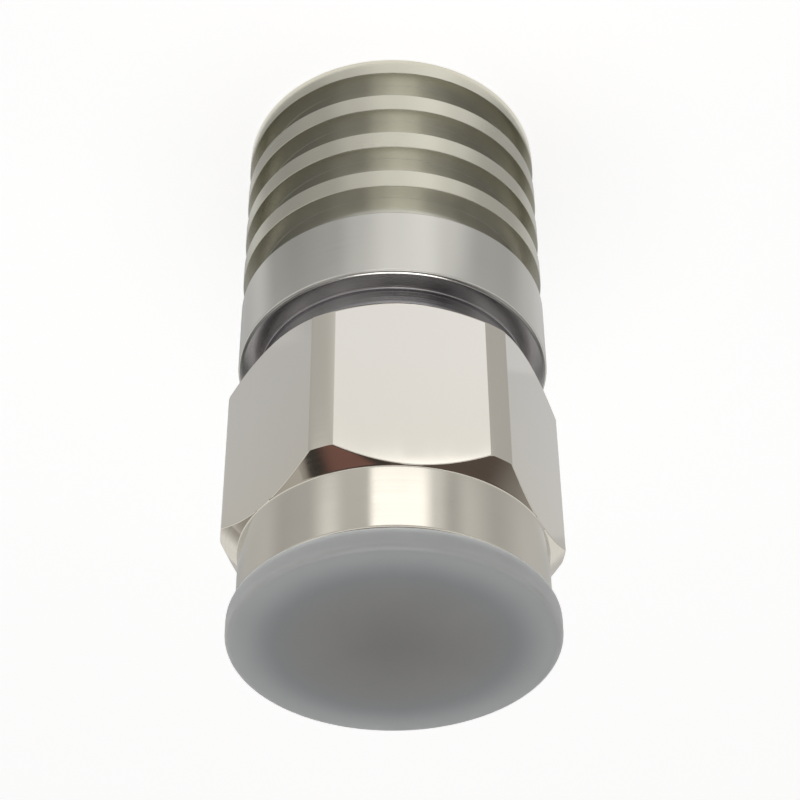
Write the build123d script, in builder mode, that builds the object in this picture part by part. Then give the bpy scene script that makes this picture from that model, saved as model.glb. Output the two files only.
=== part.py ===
"""Coaxial terminator: a finned dummy load on a threaded coaxial plug.

It stands on the finned end, with the plug up. The origin is the centre of
that end face, +Z is the axis, and all sizes are in millimetres.
"""

import os

from build123d import *

# Coupling nut: hexagon, plain skirt and the bore of its fine thread
across_flats = 32.0
corner_rise = 1.8
flat_turn = -7.0
nut_length = 29.45
hexagon_length = 21.75
rear_chamfer = 0.65
skirt_inset = 0.1
skirt_chamfer = 0.6
nut_rear_gap = 0.43
nut_land_length = 12.4
thread_wall = 2.31
thread_relief_depth = 0.9
thread_relief_length = 2.2
thread_lead_in = 0.9

# Heat sink: four fins on a plain core, bored from the front
collar_rise = 1.0
fin_depth = 1.65
fin_count = 4
fin_width = 2.46
fin_gap = 3.69
collar_gap = 3.95
fin_edge_break = 0.12
foot_chamfer = 0.3
sink_floor = 5.0

# Connector body: spigot, collar, neck and the journal that the nut turns on
spigot_wall = 2.5
spigot_length = 10.0
spigot_chamfer = 0.5
collar_length = 8.86
collar_front_round = 0.45
collar_rear_round = 0.3
neck_inset = 2.56
neck_length = 2.5
journal_inset = 1.09
journal_wall = 2.6
ring_groove_depth = 1.05
flange_length = 1.35

# Outer contact: a tube on a short base, seated on the bead in the body's bore
contact_base_wall = 2.0
contact_foot_step = 0.2
contact_wall = 1.2
contact_length = 10.4
contact_tip_chamfer = 0.35

# Insulator bead and the centre conductor through it
bead_setback = 1.6
bead_thickness = 5.0
bead_groove_rim = 2.0
bead_groove_hub = 1.1
bead_groove_depth = 0.8
pin_radius = 3.5
pin_setback = 0.4
pin_tip_round = 1.4
waist_step = 1.0
stud_step = 0.9
stud_length = 2.8
stud_end_gap = 0.08
socket_wall = 0.94
socket_length = 8.5
socket_head = 3.8
slot_width = 0.6
slot_length = 4.0
slot_count = 4

# Load resistor: ceramic rod with a pressed metal cap on each end
rod_radius = 3.0
rod_standoff = 3.0
end_cap_wall = 0.22
end_cap_length = 4.0
end_cap_floor = 0.4

# Tapered outer line around the resistor
mouth_step = 0.2
mouth_length = 2.0
throat_step = 0.64
taper_seat_length = 8.0
taper_waist = 0.42

# Retaining ring, face gasket and body seal
ring_radial = 1.8
ring_thickness = 1.1
ring_mouth = 3.0
ring_play = 0.05
gasket_inset = 0.79
gasket_thickness = 1.8
gasket_chamfer = 0.4
seal_inset = 0.8
seal_groove_width = 1.4
seal_groove_depth = 0.9
seal_chamfer = 0.25

# Dust cap pushed into the nut's mouth
cap_overhang = 0.85
cap_flange = 2.5
cap_web = 1.5
cap_front_round = 0.5
cap_rear_round = 0.6
plug_play = 0.59
plug_wall = 1.3
plug_length = 6.0
plug_end_chamfer = 0.5
grip_ring_height = 0.25
grip_ring_count = 2
grip_ring_pitch = 2.0

# Clearances between pieces that fit in each other
fixed_fit = 0.05
pressed_fit = 0.02
journal_clearance = 0.08

# Radii of the outside, from the hexagon's flats
apothem = across_flats / 2
corner_radius = apothem + corner_rise
cone_rear_radius = apothem - rear_chamfer
skirt_radius = apothem - skirt_inset
sink_radius = apothem + collar_rise
core_radius = sink_radius - fin_depth
neck_radius = sink_radius - neck_inset
cap_radius = skirt_radius + cap_overhang

# Radii of the inside, from the nut's thread down to the line's bore
thread_minor_radius = apothem - thread_wall
journal_radius = thread_minor_radius - journal_inset
nut_land_radius = journal_radius + journal_clearance
ring_groove_radius = journal_radius - ring_groove_depth
ring_inner_radius = ring_groove_radius + fixed_fit
gasket_radius = thread_minor_radius - gasket_inset
plug_radius = thread_minor_radius - plug_play
plug_bore = plug_radius - plug_wall
line_bore_radius = journal_radius - journal_wall
spigot_radius = line_bore_radius + spigot_wall
seal_inner_radius = spigot_radius + seal_inset
seal_outer_radius = seal_inner_radius + seal_groove_width
contact_bore = line_bore_radius - contact_base_wall
contact_radius = contact_bore + contact_wall
contact_foot_radius = contact_radius + contact_foot_step

# Radii of the centre conductor and the load
waist_radius = pin_radius - waist_step
stud_radius = waist_radius - stud_step
bead_groove_inner = pin_radius + bead_groove_hub
bead_groove_outer = line_bore_radius - bead_groove_rim
end_cap_bore = rod_radius + pressed_fit
end_cap_radius = end_cap_bore + end_cap_wall
end_cap_seat = end_cap_radius + pressed_fit
socket_radius = end_cap_seat + socket_wall
throat_radius = end_cap_seat + throat_step
mouth_radius = contact_bore + mouth_step

# Heights along the axis, from the heat sink's end face
fin_pitch = fin_width + fin_gap
last_fin_z = (fin_count - 1) * fin_pitch + fin_width
collar_z = last_fin_z + collar_gap
spigot_z = collar_z - spigot_length
neck_z = collar_z + collar_length
journal_z = neck_z + neck_length
nut_z = journal_z + nut_rear_gap
nut_front_z = nut_z + nut_length
hexagon_end_z = nut_z + hexagon_length
shoulder_z = nut_z + nut_land_length
ring_z = shoulder_z + ring_play
groove_end_z = ring_z + ring_thickness + ring_play
flange_z = groove_end_z + flange_length
gasket_top_z = flange_z + gasket_thickness
contact_tip_z = flange_z + contact_length
pin_tip_z = contact_tip_z - pin_setback
bead_front_z = flange_z - bead_setback
bead_z = bead_front_z - bead_thickness
socket_z = bead_z - socket_length
rod_front_z = bead_z - socket_head - pressed_fit
rod_rear_z = sink_floor + rod_standoff
seat_end_z = sink_floor + taper_seat_length
mouth_z = bead_z - mouth_length
cap_top_z = nut_front_z + cap_flange
plug_z = nut_front_z - plug_length


def rims(part, radius, height):
    """The circular edges of a piece that have this radius at this height."""
    near = 0.01
    circles = part.edges().filter_by(GeomType.CIRCLE)
    level = circles.filter_by(lambda edge: abs(edge.arc_center.Z - height) < near)
    return level.filter_by(lambda edge: abs(edge.radius - radius) < near)


def fin_outline():
    """Outline points of the fins, from the foot up to the collar."""
    points = []
    for fin in range(fin_count):
        z = fin * fin_pitch
        points += [(sink_radius, z), (sink_radius, z + fin_width)]
        points += [(core_radius, z + fin_width)]
        points += [(core_radius, z + fin_pitch)] if fin < fin_count - 1 else []
    return points + [(core_radius, collar_z)]


os.makedirs("parts", exist_ok=True)

# Heat sink, turned from bar, with the thread bore and the sleeve bore inside
thread_bore_radius = spigot_radius + fixed_fit
thread_bore_z = spigot_z - spigot_chamfer
with BuildPart() as heat_sink:
    with BuildSketch(Plane.XZ):
        with BuildLine():
            Polyline(
                (0, 0),
                *fin_outline(),
                (thread_bore_radius, collar_z),
                (thread_bore_radius, thread_bore_z),
                (line_bore_radius, thread_bore_z),
                (line_bore_radius, sink_floor),
                (0, sink_floor),
                close=True,
            )
        make_face()
    revolve(axis=Axis.Z)
    chamfer(rims(heat_sink.part, sink_radius, 0), foot_chamfer)
    for fin in range(fin_count):
        fin_z = fin * fin_pitch
        if fin > 0:
            chamfer(rims(heat_sink.part, sink_radius, fin_z), fin_edge_break)
        chamfer(rims(heat_sink.part, sink_radius, fin_z + fin_width), fin_edge_break)
heat_sink.part.label = "heat_sink"

# Connector body, turned in one piece from the spigot to the flange
with BuildPart() as connector_body:
    with BuildSketch(Plane.XZ):
        with BuildLine():
            Polyline(
                (line_bore_radius, spigot_z),
                (spigot_radius, spigot_z),
                (spigot_radius, collar_z),
                (seal_inner_radius, collar_z),
                (seal_inner_radius, collar_z + seal_groove_depth),
                (seal_outer_radius, collar_z + seal_groove_depth),
                (seal_outer_radius, collar_z),
                (sink_radius, collar_z),
                (sink_radius, neck_z),
                (neck_radius, neck_z),
                (neck_radius, journal_z),
                (journal_radius, journal_z),
                (journal_radius, shoulder_z),
                (ring_groove_radius, shoulder_z),
                (ring_groove_radius, groove_end_z),
                (journal_radius, groove_end_z),
                (journal_radius, flange_z),
                (line_bore_radius, flange_z),
                close=True,
            )
        make_face()
    revolve(axis=Axis.Z)
    chamfer(rims(connector_body.part, spigot_radius, spigot_z), spigot_chamfer)
    fillet(rims(connector_body.part, sink_radius, collar_z), collar_rear_round)
    fillet(rims(connector_body.part, sink_radius, neck_z), collar_front_round)
connector_body.part.label = "connector_body"

# Outer contact, pressed into the body's bore down to the bead
contact_base_radius = line_bore_radius - pressed_fit
with BuildPart() as outer_contact_tube:
    with BuildSketch(Plane.XZ):
        with BuildLine():
            Polyline(
                (contact_bore, bead_front_z),
                (contact_base_radius, bead_front_z),
                (contact_base_radius, flange_z),
                (contact_foot_radius, flange_z),
                (contact_foot_radius, gasket_top_z),
                (contact_radius, gasket_top_z),
                (contact_radius, contact_tip_z),
                (contact_bore, contact_tip_z),
                close=True,
            )
        make_face()
    revolve(axis=Axis.Z)
    chamfer(rims(outer_contact_tube.part, contact_radius, contact_tip_z), contact_tip_chamfer)
outer_contact_tube.part.label = "outer_contact_tube"

# Coupling nut: a hexagon turned down to cones at both ends, then bored
with BuildPart() as coupling_nut:
    with BuildSketch(Plane.XY.offset(nut_z)):
        RegularPolygon(apothem, 6, major_radius=False, rotation=flat_turn)
    extrude(amount=hexagon_length)
    with BuildSketch(Plane.XZ):
        with BuildLine():
            Polyline(
                (0, nut_z),
                (cone_rear_radius, nut_z),
                (corner_radius, nut_z + corner_radius - cone_rear_radius),
                (corner_radius, hexagon_end_z - corner_radius + skirt_radius),
                (skirt_radius, hexagon_end_z),
                (0, hexagon_end_z),
                close=True,
            )
        make_face()
    revolve(axis=Axis.Z, mode=Mode.INTERSECT)
    with BuildSketch(Plane.XY.offset(hexagon_end_z)):
        Circle(skirt_radius)
    extrude(amount=nut_front_z - hexagon_end_z)
    chamfer(rims(coupling_nut.part, skirt_radius, nut_front_z), skirt_chamfer)
    with BuildSketch(Plane.XZ):
        with BuildLine():
            Polyline(
                (0, nut_z),
                (nut_land_radius, nut_z),
                (nut_land_radius, shoulder_z),
                (thread_minor_radius + thread_relief_depth, shoulder_z),
                (thread_minor_radius + thread_relief_depth, shoulder_z + thread_relief_length),
                (thread_minor_radius, shoulder_z + thread_relief_length),
                (thread_minor_radius, nut_front_z - thread_lead_in),
                (thread_minor_radius + thread_lead_in, nut_front_z),
                (0, nut_front_z),
                close=True,
            )
        make_face()
    revolve(axis=Axis.Z, mode=Mode.SUBTRACT)
coupling_nut.part.label = "coupling_nut"

# Retaining ring: a flat ring with a mouth, sprung into the body's groove
with BuildPart() as retaining_ring:
    with BuildSketch(Plane.XY.offset(ring_z)):
        Circle(ring_inner_radius + ring_radial)
        Circle(ring_inner_radius, mode=Mode.SUBTRACT)
        with Locations((ring_inner_radius + ring_radial / 2, 0)):
            Rectangle(2 * ring_radial, ring_mouth, mode=Mode.SUBTRACT)
    extrude(amount=ring_thickness)
retaining_ring.part.label = "retaining_ring"

# Face gasket, stretched over the foot of the outer contact
with BuildPart() as interface_gasket:
    with BuildSketch(Plane.XY.offset(flange_z)):
        Circle(gasket_radius)
        Circle(contact_foot_radius + fixed_fit, mode=Mode.SUBTRACT)
    extrude(amount=gasket_thickness)
    chamfer(rims(interface_gasket.part, gasket_radius, gasket_top_z), gasket_chamfer)
interface_gasket.part.label = "interface_gasket"

# Body seal, squeezed flat in the collar's groove against the heat sink
with BuildPart() as body_seal:
    with BuildSketch(Plane.XY.offset(collar_z)):
        Circle(seal_outer_radius - fixed_fit)
        Circle(seal_inner_radius + fixed_fit, mode=Mode.SUBTRACT)
    extrude(amount=seal_groove_depth - fixed_fit)
    chamfer(body_seal.edges(), seal_chamfer)
body_seal.part.label = "body_seal"

# Insulator bead, grooved on both faces, held between the body and the sleeve
with BuildPart() as insulator_bead:
    with BuildSketch(Plane.XY.offset(bead_z)):
        Circle(line_bore_radius - fixed_fit)
        Circle(waist_radius + pressed_fit, mode=Mode.SUBTRACT)
    extrude(amount=bead_thickness)
    with BuildSketch(Plane.XY.offset(bead_z), Plane.XY.offset(bead_front_z - bead_groove_depth)):
        Circle(bead_groove_outer)
        Circle(bead_groove_inner, mode=Mode.SUBTRACT)
    extrude(amount=bead_groove_depth, mode=Mode.SUBTRACT)
insulator_bead.part.label = "insulator_bead"

# Contact pin: pin, waist through the bead and stud for the socket
with BuildPart() as contact_pin:
    with BuildSketch(Plane.XZ):
        with BuildLine():
            Polyline(
                (0, bead_z - stud_length),
                (stud_radius, bead_z - stud_length),
                (stud_radius, bead_z),
                (waist_radius, bead_z),
                (waist_radius, bead_front_z),
                (pin_radius, bead_front_z),
                (pin_radius, pin_tip_z),
                (0, pin_tip_z),
                close=True,
            )
        make_face()
    revolve(axis=Axis.Z)
    fillet(rims(contact_pin.part, pin_radius, pin_tip_z), pin_tip_round)
contact_pin.part.label = "contact_pin"

# Pin socket: screwed on the stud, slotted to grip the resistor's front cap
with BuildPart() as pin_socket:
    with BuildSketch(Plane.XY.offset(socket_z)):
        Circle(socket_radius)
    extrude(amount=socket_length)
    with BuildSketch(Plane.XY.offset(bead_z)):
        Circle(stud_radius + pressed_fit)
    extrude(amount=-(stud_length + stud_end_gap), mode=Mode.SUBTRACT)
    with BuildSketch(Plane.XY.offset(socket_z)):
        Circle(end_cap_seat)
    extrude(amount=socket_length - socket_head, mode=Mode.SUBTRACT)
    with BuildSketch(Plane.XY.offset(socket_z)):
        with PolarLocations((end_cap_seat + socket_radius) / 2, slot_count):
            Rectangle(2 * (socket_radius - end_cap_seat), slot_width)
    extrude(amount=slot_length, mode=Mode.SUBTRACT)
pin_socket.part.label = "pin_socket"

# Load resistor: ceramic rod and its two end caps
with BuildPart() as resistor_rod:
    with BuildSketch(Plane.XY.offset(rod_rear_z + end_cap_floor)):
        Circle(rod_radius)
    extrude(amount=rod_front_z - rod_rear_z - 2 * end_cap_floor)
resistor_rod.part.label = "resistor_rod"

with BuildPart() as resistor_front_cap:
    with BuildSketch(Plane.XY.offset(rod_front_z)):
        Circle(end_cap_radius)
    extrude(amount=-end_cap_length)
    with BuildSketch(Plane.XY.offset(rod_front_z - end_cap_floor)):
        Circle(end_cap_bore)
    extrude(amount=end_cap_floor - end_cap_length, mode=Mode.SUBTRACT)
resistor_front_cap.part.label = "resistor_front_cap"

with BuildPart() as resistor_rear_cap:
    with BuildSketch(Plane.XY.offset(rod_rear_z)):
        Circle(end_cap_radius)
    extrude(amount=end_cap_length)
    with BuildSketch(Plane.XY.offset(rod_rear_z + end_cap_floor)):
        Circle(end_cap_bore)
    extrude(amount=end_cap_length - end_cap_floor, mode=Mode.SUBTRACT)
resistor_rear_cap.part.label = "resistor_rear_cap"

# Taper sleeve: its bore flares from the resistor's rear seat to the bead
flare_mid_z = (seat_end_z + mouth_z) / 2
flare_mid_radius = throat_radius + taper_waist * (mouth_radius - throat_radius)
with BuildPart() as taper_sleeve:
    with BuildSketch(Plane.XZ):
        with BuildLine():
            Polyline(
                (mouth_radius, mouth_z),
                (mouth_radius, bead_z),
                (line_bore_radius - fixed_fit, bead_z),
                (line_bore_radius - fixed_fit, sink_floor),
                (end_cap_seat, sink_floor),
                (end_cap_seat, seat_end_z),
                (throat_radius, seat_end_z),
            )
            ThreePointArc(
                (throat_radius, seat_end_z),
                (flare_mid_radius, flare_mid_z),
                (mouth_radius, mouth_z),
            )
        make_face()
    revolve(axis=Axis.Z)
taper_sleeve.part.label = "taper_sleeve"

# Dust cap: thin web, rounded flange and a hollow plug with sharp grip rings
with BuildPart() as dust_cap:
    with BuildSketch(Plane.XZ):
        with BuildLine():
            Polyline(
                (0, cap_top_z - cap_web),
                (plug_bore, cap_top_z - cap_web),
                (plug_bore, plug_z),
                (plug_radius, plug_z),
                (plug_radius, nut_front_z),
                (cap_radius, nut_front_z),
                (cap_radius, cap_top_z),
                (0, cap_top_z),
                close=True,
            )
        make_face()
    revolve(axis=Axis.Z)
    fillet(rims(dust_cap.part, cap_radius, cap_top_z), cap_front_round)
    fillet(rims(dust_cap.part, cap_radius, nut_front_z), cap_rear_round)
    chamfer(rims(dust_cap.part, plug_radius, plug_z), plug_end_chamfer)
    with BuildSketch(Plane.XZ):
        for ring in range(grip_ring_count):
            with Locations((plug_radius, nut_front_z - (ring + 1) * grip_ring_pitch)):
                RegularPolygon(grip_ring_height, 4)
    revolve(axis=Axis.Z)
dust_cap.part.label = "dust_cap"

export_step(heat_sink.part, "parts/heat_sink.step")
export_step(connector_body.part, "parts/connector_body.step")
export_step(outer_contact_tube.part, "parts/outer_contact_tube.step")
export_step(coupling_nut.part, "parts/coupling_nut.step")
export_step(retaining_ring.part, "parts/retaining_ring.step")
export_step(interface_gasket.part, "parts/interface_gasket.step")
export_step(body_seal.part, "parts/body_seal.step")
export_step(insulator_bead.part, "parts/insulator_bead.step")
export_step(contact_pin.part, "parts/contact_pin.step")
export_step(pin_socket.part, "parts/pin_socket.step")
export_step(resistor_rod.part, "parts/resistor_rod.step")
export_step(resistor_front_cap.part, "parts/resistor_front_cap.step")
export_step(resistor_rear_cap.part, "parts/resistor_rear_cap.step")
export_step(taper_sleeve.part, "parts/taper_sleeve.step")
export_step(dust_cap.part, "parts/dust_cap.step")
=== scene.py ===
import math

import bmesh
import bpy
from mathutils import Matrix, Quaternion, Vector


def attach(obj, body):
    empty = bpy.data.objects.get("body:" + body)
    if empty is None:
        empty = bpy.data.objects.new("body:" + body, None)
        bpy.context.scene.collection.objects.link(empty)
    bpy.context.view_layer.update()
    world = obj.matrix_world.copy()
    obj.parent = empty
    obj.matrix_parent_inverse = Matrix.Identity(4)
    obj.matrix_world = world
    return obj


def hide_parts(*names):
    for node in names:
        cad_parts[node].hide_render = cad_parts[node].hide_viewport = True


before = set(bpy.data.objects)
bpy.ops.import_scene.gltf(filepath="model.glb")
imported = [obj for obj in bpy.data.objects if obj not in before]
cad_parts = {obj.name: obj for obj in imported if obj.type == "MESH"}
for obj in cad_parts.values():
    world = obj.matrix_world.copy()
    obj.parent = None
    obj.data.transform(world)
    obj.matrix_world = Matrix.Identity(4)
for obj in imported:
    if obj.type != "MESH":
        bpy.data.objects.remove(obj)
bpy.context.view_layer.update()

# Heat sink: a short bar of aluminium, turned on a lathe with four fins and then plated.
# Its blind bore takes the load, and it screws on the body's spigot.
mm = 0.001
same_point = 0.0001
sink_radius = 17.0
core_radius = 15.15
fin_count = 4
fin_width = 2.46
fin_pitch = 6.15
fin_edge_round = 0.12
groove_round = 0.05
collar_z = 24.86
spigot_bore = 12.55
load_bore = 10
sink_outline = [(0, 0), (sink_radius, 0)]
sink_rounds = {(sink_radius, 0): 0.3}
for fin in range(fin_count):
    foot = fin * fin_pitch
    if fin:
        sink_outline += [(core_radius, foot), (sink_radius, foot)]
        sink_rounds |= {(core_radius, foot): groove_round, (sink_radius, foot): fin_edge_round}
    sink_outline += [(sink_radius, foot + fin_width), (core_radius, foot + fin_width)]
    sink_rounds |= {(sink_radius, foot + fin_width): fin_edge_round,
                    (core_radius, foot + fin_width): groove_round}
sink_outline += [(core_radius, collar_z), (spigot_bore, collar_z), (spigot_bore, 14.36),
                 (load_bore, 14.36), (load_bore, 5), (0, 5)]


def turn(outline, rounds, steps=256, segments=4):
    """A shape off the lathe: an outline of (radius, height) in mm, with its rounded corners, spun once."""
    bm = bmesh.new()
    points = [bm.verts.new((radius * mm, 0, height * mm)) for radius, height in outline]
    for pair in zip(points, points[1:] + points[:1]):
        bm.edges.new(pair)
    for corner, width in rounds.items():
        bmesh.ops.bevel(bm, geom=[points[outline.index(corner)]], offset=width * mm, offset_type="OFFSET",
                        affect="VERTICES", segments=segments, profile=0.5, material=-1)
    bmesh.ops.spin(bm, geom=bm.verts[:] + bm.edges[:], cent=(0, 0, 0), axis=(0, 0, 1), angle=math.tau,
                   steps=steps, use_merge=True)
    bmesh.ops.remove_doubles(bm, verts=bm.verts, dist=same_point * mm)
    bmesh.ops.recalc_face_normals(bm, faces=bm.faces)
    return bm


def piece_from(bm, name, body, *materials, crease=30):
    """Makes the finished shape a piece that rides on a body, smooth but for its sharp edges."""
    mesh = bpy.data.meshes.new(name)
    bm.to_mesh(mesh)
    bm.free()
    mesh.shade_smooth()
    mesh.set_sharp_from_angle(angle=math.radians(crease))
    for material in materials:
        mesh.materials.append(material)
    piece = bpy.data.objects.new(name, mesh)
    bpy.context.scene.collection.objects.link(piece)
    even = piece.modifiers.new("even_faces", "WEIGHTED_NORMAL")
    even.keep_sharp = True
    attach(piece, body)
    return piece


def add_node(tree, kind, inputs, **settings):
    """Adds a node to a material. An input is a value or the output of another node."""
    node = tree.nodes.new("ShaderNode" + kind)
    for setting, value in settings.items():
        setattr(node, setting, value)
    for socket, value in inputs.items():
        if isinstance(value, bpy.types.NodeSocket):
            tree.links.new(value, node.inputs[socket])
        else:
            node.inputs[socket].default_value = value
    return node


def new_finish(name, **sockets):
    """A material with its node tree and its shader, whose constant sockets are set here."""
    material = bpy.data.materials.new(name)
    material.use_nodes = True
    shader = material.node_tree.nodes["Principled BSDF"]
    for socket, value in sockets.items():
        shader.inputs[socket.replace("_", " ")].default_value = value
    return material, material.node_tree, shader


def point_of(tree):
    """The place of a point in its piece's own coordinates."""
    return add_node(tree, "TexCoord", {}).outputs["Object"]


def from_axis(tree, place):
    """The distance of a point from the part's axis."""
    across = add_node(tree, "VectorMath", {0: place, 1: (1, 1, 0)}, operation="MULTIPLY").outputs[0]
    return add_node(tree, "VectorMath", {0: across}, operation="LENGTH").outputs["Value"]


def noise(tree, place, scale, detail, roughness=0.5):
    """A soft random pattern."""
    return add_node(tree, "TexNoise", {"Vector": place, "Scale": scale, "Detail": detail,
                                       "Roughness": roughness}).outputs[0]


def mix(tree, share, first, second, blend_type="MIX"):
    """Two colours, mixed or laid on each other by a share. Each is three numbers or a node's output."""
    first, second = [(*colour, 1) if isinstance(colour, tuple) else colour for colour in (first, second)]
    return add_node(tree, "Mix", {"Factor": share, "A": first, "B": second}, data_type="RGBA",
                    blend_type=blend_type).outputs["Result"]


def emboss(tree, shader, pattern, depth, strength=1.0):
    """Makes a pattern stand out of the surface, by a depth in mm."""
    bump = add_node(tree, "Bump", {"Height": pattern, "Strength": strength, "Distance": depth * mm})
    tree.links.new(bump.outputs[0], shader.inputs["Normal"])


def vary_gloss(tree, shader, pattern, roughness, spread):
    """Lets the roughness wander by a spread with the sum of two patterns."""
    gloss = add_node(tree, "MapRange", {"Value": pattern, "From Min": 0.6, "From Max": 1.4,
                                        "To Min": roughness - spread, "To Max": roughness + spread})
    tree.links.new(gloss.outputs[0], shader.inputs["Roughness"])


def turned_metal(name, colour, roughness, groove_depth, groove_scale=2600, spread=0.06):
    """Plated metal off the lathe: fine rings round the axis, and soft stains in the plating."""
    material, tree, shader = new_finish(name, Metallic=1.0, Anisotropic=0.5, Anisotropic_Rotation=0.25)
    place = point_of(tree)
    height = add_node(tree, "SeparateXYZ", {0: place}).outputs["Z"]
    ring_place = add_node(tree, "CombineXYZ", {0: from_axis(tree, place), 2: height}).outputs[0]
    rings = noise(tree, ring_place, groove_scale, 5.0, roughness=0.7)
    emboss(tree, shader, rings, groove_depth)
    tangent = add_node(tree, "Tangent", {}, direction_type="RADIAL", axis="Z")
    tree.links.new(tangent.outputs[0], shader.inputs["Tangent"])
    stains = noise(tree, place, 110.0, 3.0)
    both = add_node(tree, "Math", {0: rings, 1: stains}, operation="ADD").outputs[0]
    vary_gloss(tree, shader, both, roughness, spread)
    darker = tuple(0.97 * part for part in colour)
    lighter = tuple(min(1, 1.03 * part) for part in colour)
    tree.links.new(mix(tree, both, darker, lighter), shader.inputs["Base Color"])
    return material


sink_plate = turned_metal("sink_plate", (0.65, 0.63, 0.53), 0.24, 0.0012)
# Painted shade: the faces and cores inside the grooves get a darker colour than the rims, for the shade in
# the recesses, on a smoother plating.
groove_plate_and_shade = turned_metal("groove_plate_and_shade", (0.595, 0.583, 0.512), 0.17, 0.0012, spread=0.03)
groove_reach = 16.8
end_face_z = 0.1
bm = turn(sink_outline, sink_rounds, segments=3)
# The faces inside the grooves, off the end face and within the groove reach, take the painted shade.
for face in bm.faces:
    middle = face.calc_center_median()
    if middle.z > end_face_z * mm and math.hypot(middle.x, middle.y) < groove_reach * mm:
        face.material_index = 1
sink = piece_from(bm, "sink", "terminator", sink_plate, groove_plate_and_shade)
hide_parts("heat_sink")

# Connector body: brass, turned in one piece from the threaded spigot to the flange, then
# plated. The collar is polished. The neck keeps its coarse turning marks, and is darker by painted shade.
neck_z = 33.72
land_z = neck_z + 0.24
journal_z = 36.22
flange_z = 51.6
land_radius = 14.72
neck_radius = 14.44
journal_radius = 12.6
body_outline = [
    (10, 14.86), (12.5, 14.86), (12.5, collar_z), (13.3, collar_z), (13.3, 25.76), (14.7, 25.76),
    (14.7, collar_z), (sink_radius, collar_z), (sink_radius, neck_z), (land_radius, neck_z),
    (land_radius, land_z), (neck_radius, land_z), (neck_radius, journal_z), (journal_radius, journal_z),
    (journal_radius, 49.05), (11.55, 49.05), (11.55, 50.25), (journal_radius, 50.25),
    (journal_radius, flange_z), (10, flange_z),
]
body_rounds = {(sink_radius, collar_z): 0.3, (sink_radius, neck_z): 0.45, (land_radius, land_z): 0.16}
body_plate = turned_metal("body_plate", (0.655, 0.64, 0.59), 0.2, 0.0008)
faced_plate = turned_metal("faced_plate", (0.72, 0.70, 0.69), 0.2, 0.001)
# Painted shade: the neck, and the nut's rear cone facing it, get a darker colour than the plating round them,
# for the shade in the gap between collar and nut. Their coarser rings are embossed.
neck_plate_and_shade = turned_metal("neck_plate_and_shade", (0.5, 0.485, 0.49), 0.19, 0.03, groove_scale=2400)
faced_from = neck_z - 0.02
faced_to = neck_z + 0.05
bm = turn(body_outline, body_rounds, segments=6)
for face in bm.faces:
    height = face.calc_center_median().z
    if height > faced_to * mm:
        face.material_index = 2
    elif height > faced_from * mm:
        face.material_index = 1
barrel = piece_from(bm, "barrel", "terminator", body_plate, faced_plate, neck_plate_and_shade)
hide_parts("connector_body")

# Outer contact: a thin brass tube, silver plated, pressed into the body's bore. Its tip is
# rounded on the outside, where it enters the mating socket.
line_radius = 8
contact_radius = 9.2
contact_tip_z = 62
gasket_top_z = 53.4
silver_plate = turned_metal("silver_plate", (0.86, 0.85, 0.80), 0.2, 0.0006)
bm = turn([(line_radius, 50), (9.98, 50), (9.98, flange_z), (9.4, flange_z), (9.4, gasket_top_z),
           (contact_radius, gasket_top_z), (contact_radius, contact_tip_z), (line_radius, contact_tip_z)],
          {(contact_radius, contact_tip_z): 0.35, (line_radius, contact_tip_z): 0.12}, steps=192)
contact_tube = piece_from(bm, "contact_tube", "terminator", silver_plate)
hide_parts("outer_contact_tube")

# Contact pin: brass, turned with a round tip and silver plated. Its waist passes through the
# bead, and the stud behind it screws into the load's socket.
bead_rear_z = 45
bead_front_z = 50
pin_radius = 3.5
pin_tip_z = 61.6
bm = turn([(0, 42.2), (1.6, 42.2), (1.6, bead_rear_z), (2.5, bead_rear_z), (2.5, bead_front_z),
           (pin_radius, bead_front_z), (pin_radius, pin_tip_z), (0, pin_tip_z)],
          {(pin_radius, pin_tip_z): 1.4}, steps=160, segments=10)
pin = piece_from(bm, "pin", "terminator", silver_plate)
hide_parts("contact_pin")

# Insulator bead: a disc turned from white fluoroplastic, with a groove in each face to match
# the line. It is trapped between the outer contact and the sleeve behind it.
bead_groove = 0.8
groove_rear_z = bead_rear_z + bead_groove
groove_front_z = bead_front_z - bead_groove
bead_white, tree, shader = new_finish("bead_white", Roughness=0.42, Subsurface_Weight=0.35,
                                      Subsurface_Scale=0.002, Subsurface_Radius=(1.0, 0.9, 0.8))
ring_place = add_node(tree, "CombineXYZ", {0: from_axis(tree, point_of(tree))}).outputs[0]
rings = noise(tree, ring_place, 5000.0, 3.0)
emboss(tree, shader, rings, 0.004)
tree.links.new(mix(tree, rings, (0.86, 0.85, 0.82), (0.92, 0.92, 0.90)), shader.inputs["Base Color"])
bm = turn([(2.52, bead_rear_z), (4.6, bead_rear_z), (4.6, groove_rear_z), (8, groove_rear_z),
           (8, bead_rear_z), (9.95, bead_rear_z), (9.95, bead_front_z), (8, bead_front_z),
           (8, groove_front_z), (4.6, groove_front_z), (4.6, bead_front_z), (2.52, bead_front_z)],
          {(8, bead_front_z): 0.1, (4.6, bead_front_z): 0.1}, steps=160)
bead = piece_from(bm, "bead", "terminator", bead_white)
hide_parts("insulator_bead")

# Face gasket: a moulded ring of red silicone rubber, stretched over the outer contact's foot
# and lying on the body's flange. Its edges are rounded in front.
seal_red, tree, shader = new_finish("seal_red", Roughness=0.55, Specular_IOR_Level=0.35)
dust = noise(tree, point_of(tree), 900.0, 6.0)
emboss(tree, shader, dust, 0.02, strength=0.6)
tree.links.new(mix(tree, dust, (0.42, 0.06, 0.03), (0.58, 0.14, 0.09)), shader.inputs["Base Color"])
bm = turn([(9.45, flange_z), (12.9, flange_z), (12.9, gasket_top_z), (9.45, gasket_top_z)],
          {(12.9, gasket_top_z): 0.4, (9.45, gasket_top_z): 0.15}, steps=160)
gasket = piece_from(bm, "gasket", "terminator", seal_red)
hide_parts("interface_gasket")
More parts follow.
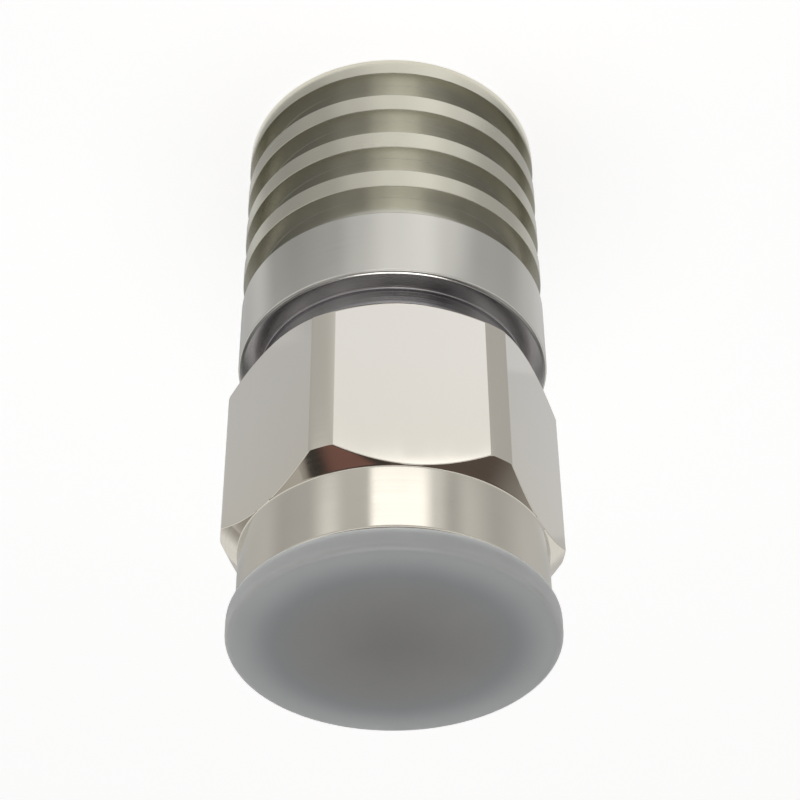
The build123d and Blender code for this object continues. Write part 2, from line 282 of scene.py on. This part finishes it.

# Coupling nut: brass hexagon bar, turned at both ends to cones and to the round skirt, bored
# and threaded, then plated. The flats are polished, with softened edges, and turn warmer to the
# front by a painted reflection. The rear cone is as coarsely turned as the neck and darkened by the same
# painted shade.
flat_angle = -97
half_across_flats = 16
flat_edge_round = 0.11
rear_cone_to = 38.5
warm_from = 44
warm_to = 58
mouth_z = 66.1
nut_outline = [
    (12.68, 36.65), (15.35, 36.65), (17.8, 39.1), (17.8, 56.5), (15.9, 58.4), (15.9, mouth_z),
    (14.55, mouth_z), (14.5, 66.0), (14.5, 51.25), (14.59, 51.2), (14.59, 49.05), (12.68, 49.05),
]
nut_rounds = {(15.35, 36.65): 0.15, (15.9, 58.4): 0.2, (15.9, mouth_z): 0.68}


def polished_metal(name, colour, warmer, roughness, spread=0.03):
    """Plated metal, polished along the axis in faint broad streaks. Its colour turns warmer to the front, a
    painted reflection.
    """
    material, tree, shader = new_finish(name, Metallic=1.0)
    place = point_of(tree)
    along = add_node(tree, "VectorMath", {0: place, 1: (1, 1, 0.06)}, operation="MULTIPLY").outputs[0]
    streaks = noise(tree, along, 420.0, 5.0, roughness=0.65)
    emboss(tree, shader, streaks, 0.0015)
    stains = noise(tree, place, 90.0, 2.0)
    both = add_node(tree, "Math", {0: streaks, 1: stains}, operation="ADD").outputs[0]
    vary_gloss(tree, shader, both, roughness, spread)
    # Painted reflection: the colour turns warmer from the rear of the flats to the front.
    height = add_node(tree, "SeparateXYZ", {0: place}).outputs["Z"]
    warm = add_node(tree, "MapRange", {"Value": height, "From Min": warm_from * mm,
                                       "From Max": warm_to * mm}).outputs[0]
    tone = mix(tree, both, mix(tree, warm, colour, warmer), (0.97, 0.97, 0.97), blend_type="MULTIPLY")
    tree.links.new(tone, shader.inputs["Base Color"])
    return material


nut_plate = turned_metal("nut_plate", (0.69, 0.652, 0.572), 0.13, 0.0006)
flat_plate = polished_metal("flat_plate", (0.806, 0.775, 0.722), (0.792, 0.75, 0.668), 0.08)
bm = turn(nut_outline, nut_rounds, steps=288)
for flat in range(6):
    facing = math.radians(flat_angle + 60 * flat)
    outwards = Vector((math.cos(facing), math.sin(facing), 0))
    cut = bmesh.ops.bisect_plane(bm, geom=bm.verts[:] + bm.edges[:] + bm.faces[:], dist=same_point * mm,
                                 plane_co=half_across_flats * mm * outwards, plane_no=outwards,
                                 clear_outer=True)
    loop = [item for item in cut["geom_cut"] if isinstance(item, bmesh.types.BMEdge)]
    made = bmesh.ops.contextual_create(bm, geom=loop)
    for face in made["faces"]:
        face.material_index = 1
# The rear cone takes the same painted shade as the neck.
for face in bm.faces:
    if face.calc_center_median().z < rear_cone_to * mm:
        face.material_index = 2
bmesh.ops.recalc_face_normals(bm, faces=bm.faces)
flat_edges = [edge for edge in bm.edges if any(face.material_index == 1 for face in edge.link_faces)]
bmesh.ops.bevel(bm, geom=flat_edges, offset=flat_edge_round * mm, offset_type="OFFSET", affect="EDGES",
                segments=2, profile=0.5, material=0, clamp_overlap=False)
nut = piece_from(bm, "nut", "nut", nut_plate, flat_plate, neck_plate_and_shade)
for side in nut.data.polygons:
    side.use_smooth = side.material_index != 1
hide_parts("coupling_nut")

# Thread of the nut: a fine right-handed ridge of 1.5 mm pitch cut in its bore, from the relief
# behind it to the mouth, where the crest is cut away in a lead-in.
thread_pitch = 1.5
thread_turns = 9.6
thread_start_z = 51.4
thread_root = 14.52
thread_crest = 13.69
lead_in_z = 65.2
turn_steps = 72
bm = bmesh.new()
ridge = [(thread_root, -0.656), (thread_crest, -0.1875), (thread_crest, 0.1875), (thread_root, 0.656)]
points = [bm.verts.new((radius * mm, 0, (thread_start_z + height) * mm)) for radius, height in ridge]
sides = [bm.edges.new(pair) for pair in zip(points, points[1:] + points[:1])]
bm.faces.new(points)
spun = bmesh.ops.spin(bm, geom=points + sides, cent=(0, 0, 0), axis=(0, 0, 1), angle=math.tau * thread_turns,
                      dvec=(0, 0, thread_pitch * mm / turn_steps), steps=round(thread_turns * turn_steps),
                      use_merge=False)
last = [item for item in spun["geom_last"] if isinstance(item, bmesh.types.BMVert)]
bmesh.ops.contextual_create(bm, geom=last)
for vert in bm.verts:
    radius = math.hypot(vert.co.x, vert.co.y)
    least = (thread_crest + max(0, vert.co.z / mm - lead_in_z)) * mm
    if radius < least:
        bmesh.ops.translate(bm, verts=[vert], vec=Vector((vert.co.x, vert.co.y, 0)) * (least / radius - 1))
bmesh.ops.recalc_face_normals(bm, faces=bm.faces)
thread = piece_from(bm, "thread", "nut", nut_plate, crease=25)

# Dust cap: moulded in milky polyethylene, with a thin round face and a hollow plug that grips
# the nut's thread with two rings. The dark bore behind it shows through the face, and the colour by radius
# paints more of that shade: darker over the bore, lighter towards the rim for light through it, and darker
# again at the rounded edge.
cap_radius = 16.75
cap_end_z = 68.6
plug_radius = 13.1
grip_radius = 13.35
plug_end_z = 60.1
hollow_radius = 11.8
hollow_z = 67.1
# Painted light and shade by radius, as a radius in mm and a colour: darker over the bore, lighter towards the
# rim, darker at the rounded edge.
cap_light_and_shade = [(0, 0.32, 0.32, 0.315), (5, 0.37, 0.37, 0.365), (9.8, 0.42, 0.425, 0.425),
             (12.0, 0.395, 0.417, 0.436), (13.5, 0.50, 0.525, 0.54), (15, 0.60, 0.625, 0.635),
             (16.1, 0.55, 0.57, 0.57), (16.7, 0.42, 0.435, 0.435)]


def set_stops(ramp, blend, stops):
    """Gives a colour ramp its stops, pairs of place and colour."""
    ramp.color_ramp.interpolation = blend
    while len(ramp.color_ramp.elements) < len(stops):
        ramp.color_ramp.elements.new(0.5)
    for element, (position, colour) in zip(ramp.color_ramp.elements, stops):
        element.position = position
        element.color = (*colour, 1)


cap_milk, tree, shader = new_finish("cap_milk", Roughness=0.42, IOR=1.45, Subsurface_Weight=1.0,
                                    Subsurface_Scale=0.003, Subsurface_Radius=(1.0, 1.0, 1.0))
place = point_of(tree)
emboss(tree, shader, noise(tree, place, 2500.0, 2.0), 0.004, strength=0.4)
# The ramp paints the light and shade by distance from the axis. The cloud is a random mottle.
share = add_node(tree, "MapRange", {"Value": from_axis(tree, place), "From Max": cap_radius * mm}).outputs[0]
depth = add_node(tree, "ValToRGB", {0: share})
set_stops(depth, "B_SPLINE", [(radius / cap_radius, colour) for radius, *colour in cap_light_and_shade])
cloud = noise(tree, place, 120.0, 4.0)
tone = mix(tree, cloud, depth.outputs[0], (0.6, 0.6, 0.6), blend_type="SOFT_LIGHT")
tree.links.new(tone, shader.inputs["Base Color"])
bm = turn([(0, hollow_z), (hollow_radius, hollow_z), (hollow_radius, plug_end_z), (plug_radius, plug_end_z),
           (plug_radius, 61.85), (grip_radius, 62.1), (plug_radius, 62.35), (plug_radius, 63.85),
           (grip_radius, 64.1), (plug_radius, 64.35), (plug_radius, mouth_z), (cap_radius, mouth_z),
           (cap_radius, cap_end_z), (0, cap_end_z)],
          {(cap_radius, cap_end_z): 0.6, (cap_radius, mouth_z): 0.6, (plug_radius, plug_end_z): 0.5,
           (hollow_radius, hollow_z): 0.5}, segments=6)
cap = piece_from(bm, "cap", "cap", cap_milk)
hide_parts("dust_cap")

# Pieces that the body, the heat sink and the nut hide: they keep their shapes, and get the
# finish of the real ones, spring steel, rubber, plated brass and coated ceramic.
steel, tree, shader = new_finish("ring_steel", Metallic=1.0, Roughness=0.35)
grain = noise(tree, point_of(tree), 1800.0, 4.0)
tree.links.new(mix(tree, grain, (0.48, 0.48, 0.49), (0.60, 0.60, 0.61)), shader.inputs["Base Color"])
ceramic, tree, shader = new_finish("rod_coating", Roughness=0.5)
grain = noise(tree, point_of(tree), 1400.0, 5.0)
emboss(tree, shader, grain, 0.01, strength=0.5)
tree.links.new(mix(tree, grain, (0.03, 0.05, 0.04), (0.07, 0.10, 0.08)), shader.inputs["Base Color"])
hidden = {"retaining_ring": steel, "body_seal": seal_red, "resistor_rod": ceramic, "pin_socket": silver_plate,
          "resistor_front_cap": silver_plate, "resistor_rear_cap": silver_plate, "taper_sleeve": silver_plate}
for node, material in hidden.items():
    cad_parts[node].data.materials.clear()
    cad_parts[node].data.materials.append(material)

# Table: a plain pale sheet, lit softly from below as a light table is, so that little shadow
# falls on it. It isn't part of the object.
table_half = 3.0


def stage_object(bm, name, material):
    """Makes a shape a thing of the studio, with one material."""
    mesh = bpy.data.meshes.new(name)
    bm.to_mesh(mesh)
    bm.free()
    mesh.materials.append(material)
    thing = bpy.data.objects.new(name, mesh)
    bpy.context.scene.collection.objects.link(thing)
    return thing


table_white, tree, shader = new_finish("table_white", Base_Color=(0.5, 0.5, 0.5, 1), Roughness=0.9,
                                       Emission_Color=(1, 1, 1, 1), Emission_Strength=0.77)
bm = bmesh.new()
bmesh.ops.create_grid(bm, x_segments=1, y_segments=1, size=table_half)
table = stage_object(bm, "table", table_white)

# Cards for the metal to reflect: three rings of card lie on the table round the part, and two
# hang round the nut for the neck and the grooves below. Only reflections see them.
lying_z = 0.2
hanging_z = 42
fade_from = 105
fade_to = 150
far_grey = (0.3, 0.3, 0.3)


def reflected_only(card):
    """Hides a card from everything but reflections."""
    card.visible_camera = False
    card.visible_diffuse = False
    card.visible_shadow = False
    card.visible_transmission = False


def card_ring(name, inner, outer, height, stops):
    """A ring of card, in mm. A stop is a turn in degrees, from the front to the picture's right, and a grey.

    Far from the part the greys fade to one. A ring that hangs shows only its underside.
    """
    material, tree, shader = new_finish(name)
    tree.nodes.remove(shader)
    place = point_of(tree)
    axes = add_node(tree, "SeparateXYZ", {0: place})
    right = add_node(tree, "Math", {0: axes.outputs["X"], 1: -1.0}, operation="MULTIPLY").outputs[0]
    front = add_node(tree, "Math", {0: axes.outputs["Y"], 1: -1.0}, operation="MULTIPLY").outputs[0]
    angle = add_node(tree, "Math", {0: right, 1: front}, operation="ARCTAN2").outputs[0]
    share = add_node(tree, "MapRange", {"Value": angle, "From Min": -math.pi, "From Max": math.pi}).outputs[0]
    ramp = add_node(tree, "ValToRGB", {0: share})
    set_stops(ramp, "EASE", [(0.5 + degrees / 360, (grey, grey, grey)) for degrees, grey in stops])
    reach = add_node(tree, "VectorMath", {0: place}, operation="LENGTH").outputs["Value"]
    fade = add_node(tree, "MapRange", {"Value": reach, "From Min": fade_from * mm, "From Max": fade_to * mm},
                    interpolation_type="SMOOTHSTEP").outputs[0]
    shown = mix(tree, fade, ramp.outputs[0], far_grey)
    light = add_node(tree, "Emission", {"Color": shown, "Strength": 2.0}).outputs[0]
    if height == hanging_z:
        above = add_node(tree, "NewGeometry", {}).outputs["Backfacing"]
        clear = add_node(tree, "BsdfTransparent", {}).outputs[0]
        light = add_node(tree, "MixShader", {0: above, 1: clear, 2: light}).outputs[0]
    tree.links.new(light, tree.nodes["Material Output"].inputs["Surface"])
    bm = bmesh.new()
    ends = [bm.verts.new((0, -radius * mm, height * mm)) for radius in (inner, outer)]
    side = bm.edges.new(ends)
    bmesh.ops.spin(bm, geom=ends + [side], cent=(0, 0, 0), axis=(0, 0, 1), angle=math.tau, steps=72,
                   use_merge=True)
    ring = stage_object(bm, name, material)
    reflected_only(ring)


card_ring("near_cards", 17.5, 52, lying_z, [
    (-180, 0.27), (-150, 0.22), (-120, 0.26), (-98, 0.32), (-80, 0.205), (-64, 0.185), (-36, 0.225),
    (-20, 0.315), (0, 0.43), (20, 0.485), (36, 0.39), (58, 0.24), (80, 0.225), (102, 0.30), (122, 0.335),
    (150, 0.27)])
card_ring("middle_cards", 52, 89, lying_z, [
    (-180, 0.36), (-120, 0.305), (-92, 0.275), (-76, 0.27), (-64, 0.265), (-46, 0.27), (-20, 0.36),
    (0, 0.46), (24, 0.475), (34, 0.36), (44, 0.275), (62, 0.265), (86, 0.26), (106, 0.275), (150, 0.35)])
card_ring("far_cards", 89, 400, lying_z, [
    (-180, 0.25), (-150, 0.225), (-120, 0.27), (-98, 0.29), (-80, 0.225), (-60, 0.24), (-43, 0.44),
    (-30, 0.29), (-17, 0.28), (-12, 0.85), (18, 0.8), (29, 0.39), (40, 0.25), (52, 0.33), (74, 0.24),
    (104, 0.30), (150, 0.26)])
card_ring("neck_cards", 20, 31, hanging_z, [
    (-180, 0.30), (-130, 0.20), (-100, 0.05), (-80, 0.13), (-60, 0.21), (-45, 0.155), (-30, 0.19),
    (-15, 0.14), (0, 0.075), (15, 0.065), (30, 0.03), (45, 0.09), (60, 0.21), (80, 0.19), (100, 0.07),
    (130, 0.20)])
card_ring("groove_cards", 31, 76, hanging_z, [
    (-180, 0.30), (-135, 0.22), (-108, 0.12), (-69, 0.12), (-52, 0.14), (-34, 0.21), (-21, 0.22),
    (-7, 0.44), (4, 0.60), (16, 0.55), (27, 0.34), (37, 0.25), (52, 0.165), (69, 0.135), (108, 0.125),
    (135, 0.22)])

# Light and view: a tent that is white near the table and dim above it but for a paler wall on
# each side, one soft lamp overhead, a dull red card, and a camera that looks down on the plug's
# end, turned over. The walls are named as they stand in the picture.
world = bpy.data.worlds.new("tent")
world.use_nodes = True
tree = world.node_tree
way = add_node(tree, "SeparateXYZ", {0: add_node(tree, "TexCoord", {}).outputs["Generated"]}).outputs


def rise(part, start, end, most=1.0):
    """Grows from 0 to the most while one part of a direction goes from a start to an end."""
    return add_node(tree, "MapRange", {"Value": part, "From Min": start, "From Max": end,
                                       "To Max": most}).outputs[0]


dim = mix(tree, rise(way["Y"], -0.3, 0.4), (0.11, 0.085, 0.075), (0.085, 0.09, 0.083))
far = rise(way["Y"], -0.22, 0.32)
left = rise(way["X"], 0.64, 0.76)
right = rise(way["X"], -0.52, -0.68, most=far)
sides = add_node(tree, "Math", {0: left, 1: right}, operation="ADD").outputs[0]
paper = mix(tree, far, (0.5, 0.48, 0.455), (0.35, 0.335, 0.315))
wall = mix(tree, sides, dim, paper)
low = add_node(tree, "MapRange", {"Value": way["Z"], "From Min": 0.02, "From Max": 0.12, "To Min": 1.0,
                                  "To Max": 0.0}, interpolation_type="SMOOTHSTEP").outputs[0]
tent = mix(tree, low, wall, (0.98, 0.98, 0.98))
tree.links.new(tent, tree.nodes["Background"].inputs["Color"])
bpy.context.scene.world = world

lamp_data = bpy.data.lights.new("overhead_lamp", "AREA")
lamp_data.shape = "DISK"
lamp_data.size = 0.4
lamp_data.energy = 1.3
lamp_data.color = (0.98, 0.99, 1.0)
lamp = bpy.data.objects.new("overhead_lamp", lamp_data)
lamp.location = (0, -0.08, 0.65)
bpy.context.scene.collection.objects.link(lamp)


def hang_card(name, way, distance, size, inside, outside):
    """A square card with a soft spot, in metres, that faces the part from one direction."""
    material, tree, shader = new_finish(name)
    tree.nodes.remove(shader)
    uv = add_node(tree, "UVMap", {}, uv_map="card").outputs[0]
    middle = add_node(tree, "VectorMath", {0: uv, 1: (0.5, 0.5, 0)}, operation="SUBTRACT").outputs[0]
    off = add_node(tree, "VectorMath", {0: middle}, operation="LENGTH").outputs["Value"]
    share = add_node(tree, "MapRange", {"Value": off, "From Min": 0.2, "From Max": 0.34},
                     interpolation_type="SMOOTHSTEP").outputs[0]
    light = add_node(tree, "Emission", {"Color": mix(tree, share, inside, outside)}).outputs[0]
    tree.links.new(light, tree.nodes["Material Output"].inputs["Surface"])
    bm = bmesh.new()
    bm.loops.layers.uv.new("card")
    bmesh.ops.create_grid(bm, x_segments=1, y_segments=1, size=size / 2, calc_uvs=True)
    bmesh.ops.rotate(bm, verts=bm.verts, matrix=way.to_track_quat("Z", "Y").to_matrix())
    bmesh.ops.translate(bm, verts=bm.verts, vec=way.normalized() * distance)
    card = stage_object(bm, name, material)
    reflected_only(card)


hang_card("red_card", Vector((0.34, -0.57, 0.75)), 0.3, 0.23, (0.2, 0.1, 0.085), (0.045, 0.04, 0.035))

sight = Vector((0, 0.7656, -0.6434))
camera_place = Vector((-0.792, -163.08, 173.91)) * mm
turned_over = Quaternion((0, 0, 1), math.radians(179.49))
camera_data = bpy.data.cameras.new("camera")
camera_data.sensor_width = 36
camera_data.lens = 87.72
camera = bpy.data.objects.new("camera", camera_data)
camera.matrix_world = Matrix.LocRotScale(camera_place, sight.to_track_quat("-Z", "Y") @ turned_over, None)
bpy.context.scene.collection.objects.link(camera)
bpy.context.scene.camera = camera
bpy.context.scene.view_settings.view_transform = "Standard"
